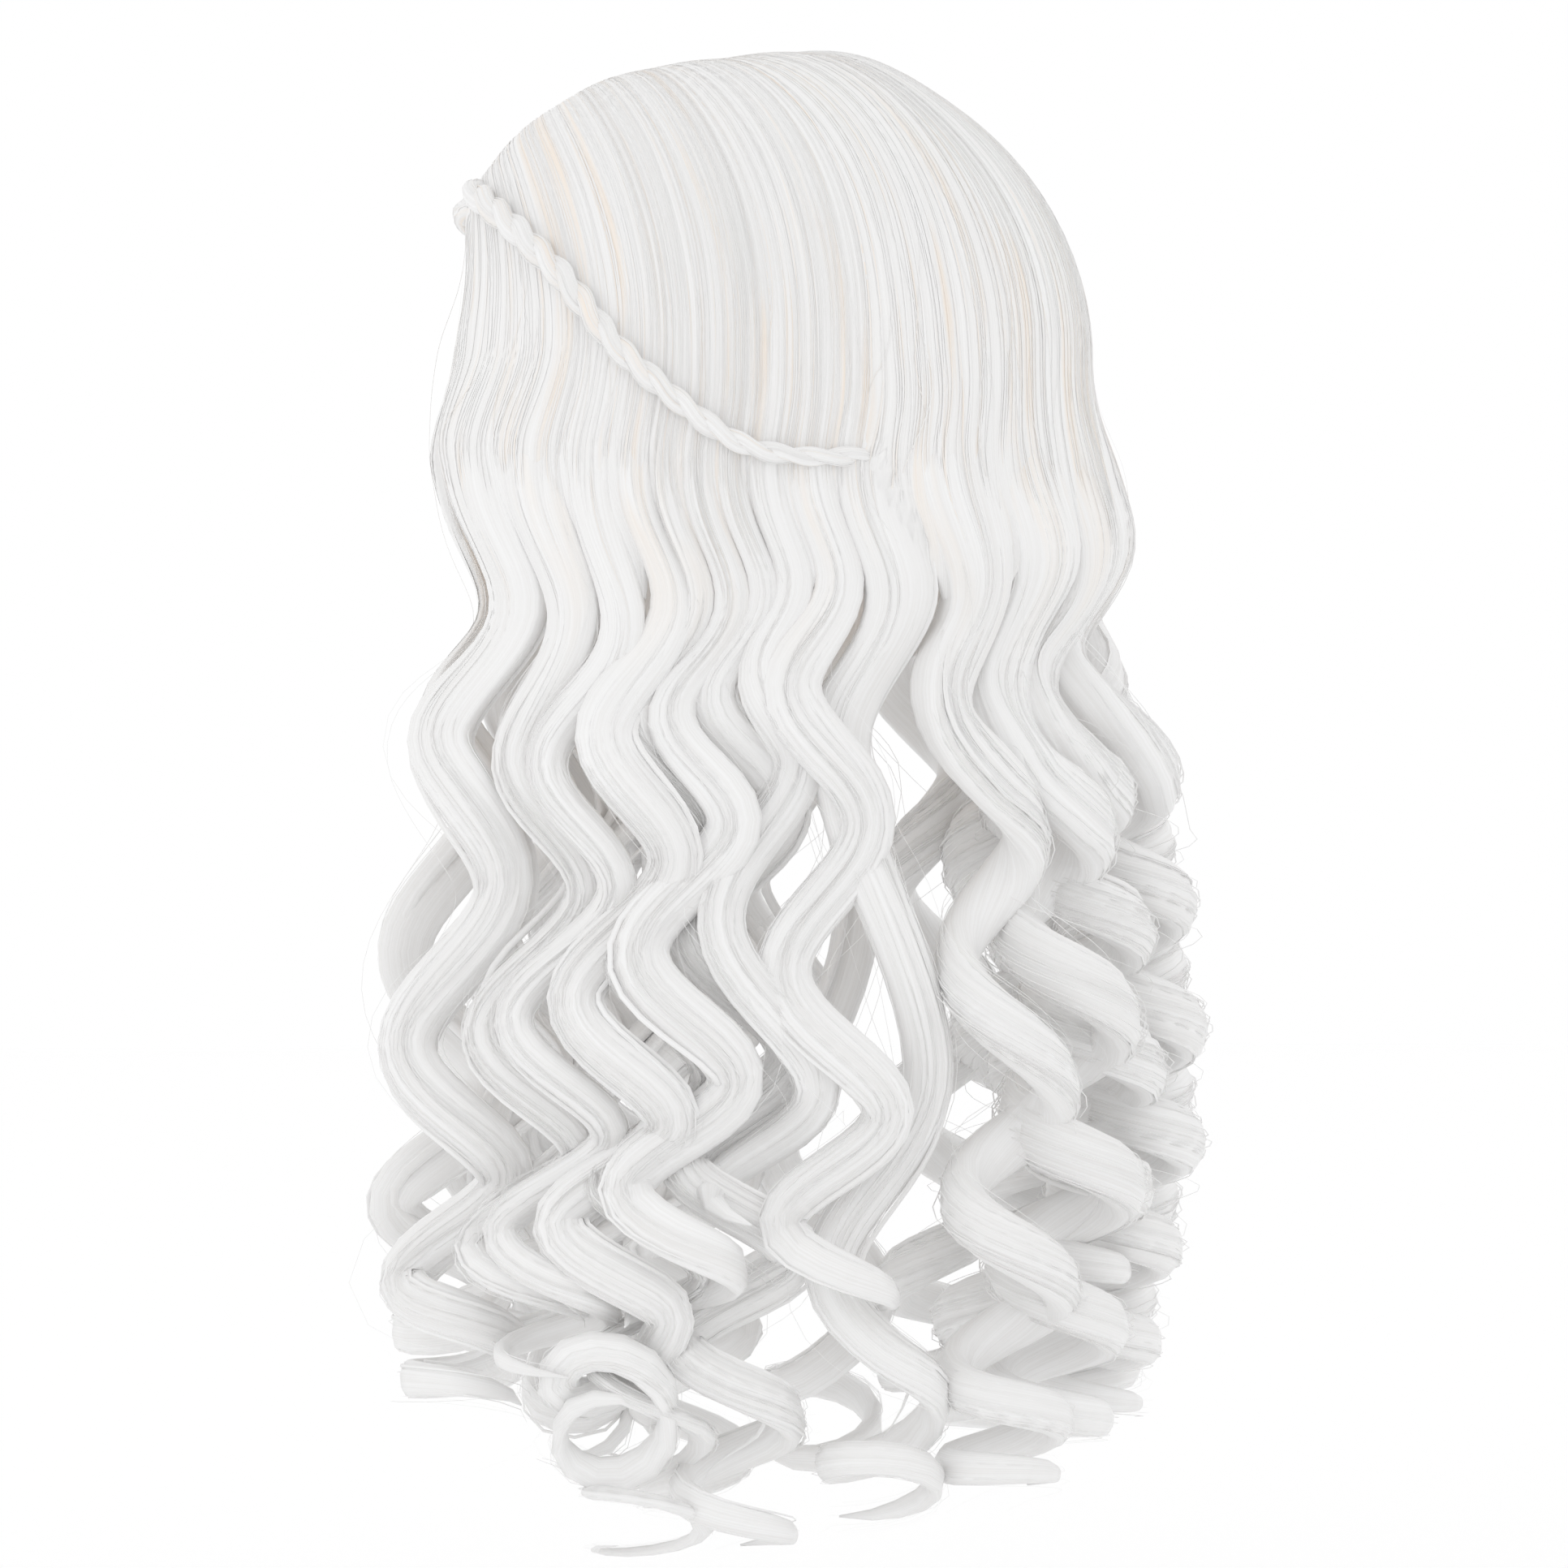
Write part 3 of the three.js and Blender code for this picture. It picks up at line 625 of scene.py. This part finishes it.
def lock_core(lock, rng):
    """Rings of a lock's body, and its offset."""
    way, fall = fall_steps(lock, np.array([lock.tip]), CORE_START)
    gathered = parted(lock, HEAD_DROP + (fall - 1) * FALL_DROP - ROUNDING_DROP)
    square = lerp(CORE_SQUARE_IN_SHEET, CORE_SQUARE_IN_LOCK, gathered)
    column = np.linspace(-1, 1, CORE_COLUMNS + 1)
    share = np.sin(np.pi / 2 * np.concatenate([column[::-1], column[1:-1]]))
    side = np.concatenate([np.ones(CORE_COLUMNS + 1), -np.ones(CORE_COLUMNS - 1)])
    depth = side * np.maximum(0, 1 - np.abs(share) ** square) ** (1 / square)
    depth = depth * lerp(CORE_UNDER, 1, smoothstep(fall, *CORE_RISE))
    noise = rng.normal(size=(2, 1, 1, 2 * CORE_COLUMNS))
    noise = noise + np.roll(noise, 1, -1) + np.roll(noise, 2, -1)
    drift = 2 * np.pi * CORE_RIDGE_DRIFT * fall
    ridge = 1 + CORE_RIDGE * (noise[0] * np.cos(drift) + noise[1] * np.sin(drift))
    to_tip = np.clip((way - CORE_TIP_SHARE) / (1 - CORE_TIP_SHARE), 0, 1)
    taper = np.maximum(CORE_TIP_END, 1 - to_tip ** CORE_TIP_POWERS[0])[:, None] ** CORE_TIP_POWERS[1]
    zero = np.zeros((1, 1, 1))
    rings = hair_place(lock, share * taper, depth * ridge * taper, fall, zero, 1 + zero)
    return rings, rng.uniform(0, STREAK_SPREAD, 1)


# Over its body a lock has thin ribbons of hair that lift at its edges, fine strands and a few stray hairs,
# and a flat wave has a ribbon of an inner layer behind it. Shares and depths are of the lock's half width and
# half thickness. Hair wanders aside, leads or lags its lock's curl, and ends up to so many millimetres short
# of the tip, or frays a little past it.
Hair = namedtuple("Hair", "count sides half_share half_depth wander lead swell start head_depth shorter")
RIBBON = Hair(3, 6, 0.1, 0.08, 0.07, 0.015, 1, 0.9, 0.6, 36)
RIBBON_SHARES = (0.45, 1.05)
RIBBON_DEPTHS = (0.3, 1)
RIBBON_ROUND = 0.7
RIBBON_LEAST_ROUND = 0.1
INNER_RIBBON = Hair(1, 6, 0.2, 0.2, 0.12, 0.06, 0.9, 0.9, -0.5, 110)
INNER_SHARES = (-0.9, 0.9)
INNER_DEPTHS = (-1.7, -1.1)
STRAND = Hair(23, 3, 0.018, 0.035, 0.04, 0.01, 1, 0, 1.03, 40)
STRAND_LIFT = 1.04
STRAND_LEAST_LIFT = 0.05
STRAY = Hair(5, 3, 0.01, 0.02, 0.35, 0.08, 1, 0, 1.04, 140)
STRAY_SHARES = (-1.6, 1.6)
STRAY_DEPTHS = (-0.8, 1.3)
LOOSENING = (0.05, 1.2)
FREEING = (1.3, 1.9)
FLATNESS_ON_HEAD = 0.3
DRIFT_PACES = (0.45, 1.1, 0.5)
QUICK_DRIFT = 0.6
SWELL_SPREAD = 0.06
FRAYED_SHARE = 0.12
HAIR_TAPER = 0.85
HAIR_TAPER_SHARE = 0.9
HAIR_SEED = 11


def hair_tubes(lock, hair, share, depth, rng):
    """Rings of thin tubes of hair that run with a lock to their own tips, and their offsets."""
    tip = lock.tip - rng.uniform(-FRAYED_SHARE, 1, hair.count) * hair.shorter
    way, fall = fall_steps(lock, tip, hair.start)
    phase = rng.uniform(0, 1, (len(DRIFT_PACES), hair.count, 1, 1))
    slow, quick, sink = [np.sin(2 * np.pi * (pace * fall + p)) for pace, p in zip(DRIFT_PACES, phase)]
    loosened = hair.wander * smoothstep(fall, *LOOSENING)
    free = smoothstep(fall, *FREEING)
    angle = 2 * np.pi * np.arange(hair.sides) / hair.sides
    taper = (1 - HAIR_TAPER * smoothstep(way, HAIR_TAPER_SHARE, 1))[:, None]
    across = share[:, None, None] + loosened * (slow + QUICK_DRIFT * quick)
    across = across + hair.half_share * taper * np.cos(angle)
    through = lerp(hair.head_depth, depth[:, None, None], free)
    through = through + lerp(FLATNESS_ON_HEAD, 1, free) * hair.half_depth * taper * np.sin(angle)
    through = through + free * loosened * sink
    lead = hair.lead * rng.normal(size=(hair.count, 1, 1))
    swell = hair.swell + SWELL_SPREAD * rng.normal(size=(hair.count, 1, 1))
    return hair_place(lock, across, through, fall, lead, swell), rng.uniform(0, STREAK_SPREAD, hair.count)


def all_locks():
    """The locks of both sides in order of bearing, each with its share of the head on either hand."""
    right = []
    for k, lock in enumerate(LOCKS):
        tip = lock.tip + RIGHT_UNEVENNESS * math.sin(UNEVENNESS_STEP * k)
        lead = lock.lead + lerp(RIGHT_LEAD, RIGHT_LEAD_BEHIND, smoothstep(lock.bearing, *RIGHT_LEAD_CHANGE))
        right.append(lock._replace(bearing=360 - lock.bearing, lead=lead, tip=tip, hand=-1))
    locks = LOCKS + right[::-1]
    edges = sorted({bearing for limits in TRESSES.values() for bearing in limits})
    shared = []
    for k, lock in enumerate(locks):
        low = max([edge for edge in edges if edge < lock.bearing])
        high = min([edge for edge in edges if edge > lock.bearing])
        if k and locks[k - 1].bearing > low:
            low = (locks[k - 1].bearing + lock.bearing) / 2
        if k + 1 < len(locks) and locks[k + 1].bearing < high:
            high = (locks[k + 1].bearing + lock.bearing) / 2
        shared.append(lock._replace(before=lock.bearing - low, after=high - lock.bearing))
    return shared


def lock_batches(lock, rng):
    """The body of a lock and the hair on it."""
    edge = rng.choice([-1, 1], RIBBON.count) * rng.uniform(*RIBBON_SHARES, RIBBON.count)
    inner = rng.uniform(*INNER_SHARES, INNER_RIBBON.count)
    strand = rng.uniform(-1, 1, STRAND.count)
    stray = rng.uniform(*STRAY_SHARES, STRAY.count)
    rounding = np.sqrt(np.maximum(RIBBON_LEAST_ROUND, 1 - RIBBON_ROUND * edge ** 2))
    edge_depth = rng.uniform(*RIBBON_DEPTHS, RIBBON.count) * rounding
    lift = np.maximum(STRAND_LEAST_LIFT, STRAND_LIFT - np.abs(strand) ** CORE_SQUARE_IN_LOCK)
    strand_depth = lift ** (1 / CORE_SQUARE_IN_LOCK)
    batches = [
        lock_core(lock, rng),
        hair_tubes(lock, RIBBON, edge, edge_depth, rng),
        hair_tubes(lock, STRAND, strand, strand_depth, rng),
        hair_tubes(lock, STRAY, stray, rng.uniform(*STRAY_DEPTHS, STRAY.count), rng),
    ]
    if not is_coil(lock):
        inner_depth = rng.uniform(*INNER_DEPTHS, INNER_RIBBON.count)
        batches.append(hair_tubes(lock, INNER_RIBBON, inner, inner_depth, rng))
    return batches


# Heat-set fibre: smooth silky filament, combed in one direction. It gives long soft streaks, satin highlights
# across the curls and pale shade, and where it is thin over the cap a faint beige comes through. Filaments
# are 0.08 mm, so they are drawn as strands of about 0.7 mm to show.
Streaks = namedtuple("Streaks", "width length detail roughness")
FILAMENTS = Streaks(0.7 * MM, 70 * MM, 2, 0.6)
CLUMPS = Streaks(5 * MM, 240 * MM, 2, 0.5)
THIN_PLACES = Streaks(13 * MM, 130 * MM, 3, 0.6)
# The pattern's grid is turned, so that none of its rows lies straight across the hair.
STREAK_TURN = (0, 0, 0.6)
CLUMP_SHARE = 0.4
SHADE_TONE = "#EAE9E8"
LIGHT_TONE = "#F3F3F3"
TONE_RANGE = (0.3, 0.65)
THIN_TONE = "#F1E7DC"
THIN_RANGE = (0.54, 0.74)
THIN_HEIGHTS = (-220 * MM, -120 * MM)
CLUMP_RELIEF = 0.5 * MM
FILAMENT_RELIEF = 0.2 * MM
RELIEF_STRENGTH = 0.4


def combed_streaks(tree, surface, streaks):
    """Noise drawn out along the hair."""
    drawn_out = add_node(tree, "ShaderNodeMapping", Vector=surface, Rotation=STREAK_TURN,
                         Scale=(1 / streaks.width, 1 / streaks.length, 1))
    noise = add_node(tree, "ShaderNodeTexNoise", {"noise_dimensions": "2D"}, Scale=1, Detail=streaks.detail,
                     Roughness=streaks.roughness, Vector=drawn_out.outputs["Vector"])
    return noise.outputs["Fac"]


fibre, tree, shader = new_material("heat_set_fibre")
surface = add_node(tree, "ShaderNodeUVMap", {"uv_map": "surface"}).outputs["UV"]
filaments = combed_streaks(tree, surface, FILAMENTS)
clumps = combed_streaks(tree, surface, CLUMPS)
combing = add_node(tree, "ShaderNodeMix", {"data_type": "FLOAT"}, Factor=CLUMP_SHARE, A=filaments, B=clumps)
tone = add_node(tree, "ShaderNodeValToRGB", Fac=combing.outputs["Result"])
for stop, position, colour in zip(tone.color_ramp.elements, TONE_RANGE, (SHADE_TONE, LIGHT_TONE)):
    stop.position = position
    stop.color = linear(colour)
place = add_node(tree, "ShaderNodeTexCoord").outputs["Object"]
height = add_node(tree, "ShaderNodeSeparateXYZ", Vector=place).outputs["Z"]
over_cap = add_node(tree, "ShaderNodeMapRange", Value=height, From_Min=THIN_HEIGHTS[0],
                    From_Max=THIN_HEIGHTS[1])
thin = add_node(tree, "ShaderNodeMapRange", Value=combed_streaks(tree, surface, THIN_PLACES),
                From_Min=THIN_RANGE[0], From_Max=THIN_RANGE[1], To_Max=over_cap.outputs["Result"])
tinted = add_node(tree, "ShaderNodeMix", {"data_type": "RGBA"}, Factor=thin.outputs["Result"],
                  A=tone.outputs["Color"], B=linear(THIN_TONE))
swells = add_node(tree, "ShaderNodeBump", Height=clumps, Strength=RELIEF_STRENGTH, Distance=CLUMP_RELIEF)
relief = add_node(tree, "ShaderNodeBump", Height=filaments, Strength=RELIEF_STRENGTH,
                  Distance=FILAMENT_RELIEF, Normal=swells.outputs["Normal"])
tree.links.new(tinted.outputs["Result"], shader.inputs["Base Color"])
tree.links.new(relief.outputs["Normal"], shader.inputs["Normal"])
shader.inputs["Roughness"].default_value = 0.42
shader.inputs["IOR"].default_value = 1.5

locks = all_locks()
for number, (tress, (low, high)) in enumerate(TRESSES.items()):
    rng = np.random.default_rng(HAIR_SEED + number)
    tress_locks = [lock for lock in locks if low < lock.bearing < high]
    batches = [tress_cover(low, high, tress_locks)]
    for lock in tress_locks:
        batches += lock_batches(lock, rng)
    hair = tubes_piece(tress.replace("tress", "hair"), batches, fibre)
    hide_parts(tress)


# Side twists
# Two thin strands of the same fibre rolled round each other, from the front of the parting across the temple.
# They lie on the combed hair and go under the back hair behind the ear, where they are tied out of sight.
TWIST_ROUTE = {
    "point": (0, 1, 2, 3, 4, 5, 6),
    "bearing": (23, 42.5, 51, 62, 76, 89.5, 116),
    "fall": (0.28, 0.75, 0.96, 1.15, 1.33, 1.4, 1.41),
}
TWIST_RADIUS = 5.4
TWIST_END_SHARE = 0.62
TWIST_SEAT_SHARE = 0.7
TWIST_PITCH = 26
TWIST_STEPS = 150
TWIST_TAPER = (-0.04, 0.03)
TWIST_START = 0.05
TWIST_TUCK = 0.88
# Sizes in the twist are shares of its radius: how far its two strands lie from its middle, and the girth of
# each strand and of the fine hairs that lie on it.
STRAND_OFFSET = 0.31
TwistHair = namedtuple("TwistHair", "count sides girth lift")
TWIST_STRAND = TwistHair(1, 14, 0.7, 0)
TWIST_HAIRS = TwistHair(9, 3, 0.05, 0.7)
TWIST_UNEVENNESS = 0.05
TWIST_HAIR_TURN = 2
TWIST_SEED = 31
twist_bearing_at = smooth_table(TWIST_ROUTE, "bearing")
twist_fall_at = smooth_table(TWIST_ROUTE, "fall")


def twist_batches(side, rng):
    """Rings of the two strands of a twist and of the fine hairs on them, and their offsets."""
    way = np.linspace(0, 1, TWIST_STEPS)
    point = way * TWIST_ROUTE["point"][-1]
    left_bearing = twist_bearing_at(point)
    bearing = left_bearing if side > 0 else 360 - left_bearing
    surface = sheet_place(bearing, np.ones(TWIST_STEPS), twist_fall_at(point), 0.0, 0.0)
    out = unit(surface + np.array([0, 0, HEAD_DROP]))
    radius = TWIST_RADIUS * lerp(1, TWIST_END_SHARE, way) * smoothstep(way, *TWIST_TAPER)
    tuck = smoothstep(way, TWIST_TUCK, 1) + 1 - smoothstep(way, 0, TWIST_START)
    middle = surface + out * lerp(TWIST_SEAT_SHARE * radius, -TWIST_RADIUS, tuck)[:, None]
    along = unit(np.gradient(middle, axis=0))
    across = unit(np.cross(out, along))[:, None]
    face = np.cross(along, across[:, 0])[:, None]
    length = np.linalg.norm(np.diff(middle, axis=0, prepend=middle[:1]), axis=1).cumsum()
    batches = []
    for half_turn in (0, np.pi):
        turn = side * 2 * np.pi * length / TWIST_PITCH + half_turn
        strand = STRAND_OFFSET * np.stack([np.cos(turn), np.sin(turn)])
        for hair in (TWIST_STRAND, TWIST_HAIRS):
            angle = 2 * np.pi * np.arange(hair.sides) / hair.sides
            rings = []
            for _ in range(hair.count):
                around = rng.uniform(0, 2 * np.pi) + TWIST_HAIR_TURN * rng.normal() * way
                place = strand + hair.lift * np.stack([np.cos(around), np.sin(around)])
                swell = hair.girth * (1 + TWIST_UNEVENNESS * rng.normal(size=hair.sides))
                x = (place[0][:, None] + swell * np.cos(angle)) * radius[:, None]
                y = (place[1][:, None] + swell * np.sin(angle)) * radius[:, None]
                rings.append(middle[:, None] + x[..., None] * across + y[..., None] * face)
            batches.append((np.stack(rings), rng.uniform(0, STREAK_SPREAD, hair.count)))
    return batches


for side, hand in ((1, "left"), (-1, "right")):
    rng = np.random.default_rng(TWIST_SEED + side)
    twist = tubes_piece(f"twist_{hand}", twist_batches(side, rng), fibre)
    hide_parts(f"side_twist_{hand}")


# Studio
# A floor of matt white paper below the tips, white all round, and one wide soft light from the front left.
# Light goes on from strand to strand in white hair, so that its hollows stay pale.
FLOOR_SIZE = 12
FLOOR_HEIGHT = -0.62
LIGHT_BOUNCES = 12
LIGHT_BEARING = 45
LIGHT_ELEVATION = 10
LIGHT_DISTANCE = 2.4
LIGHT_SIZE = 1.8
LIGHT_POWER = 2.5
WHITE = linear("#FFFFFF")

bpy.ops.mesh.primitive_plane_add(size=FLOOR_SIZE, location=(0, 0, FLOOR_HEIGHT))
floor = bpy.context.object
floor.name = "floor"
paper, tree, shader = new_material("white_paper")
shader.inputs["Base Color"].default_value = WHITE
shader.inputs["Roughness"].default_value = 0.9
floor.data.materials.append(paper)

world = bpy.data.worlds.new("studio")
world.use_nodes = True
world.node_tree.nodes["Background"].inputs["Color"].default_value = WHITE
world.node_tree.nodes["Background"].inputs["Strength"].default_value = 1.0
bpy.context.scene.world = world
bpy.context.scene.view_settings.view_transform = "Standard"
bpy.context.scene.cycles.max_bounces = LIGHT_BOUNCES
bpy.context.scene.cycles.diffuse_bounces = LIGHT_BOUNCES

light_data = bpy.data.lights.new("main_light", "AREA")
light_data.size = LIGHT_SIZE
light_data.energy = LIGHT_POWER
light = bpy.data.objects.new("main_light", light_data)
towards_light = Vector(outward(LIGHT_BEARING, LIGHT_ELEVATION))
light.location = AIM + towards_light * LIGHT_DISTANCE
light.rotation_euler = (-towards_light).to_track_quat("-Z", "Y").to_euler()
light.visible_camera = False
bpy.context.collection.objects.link(light)
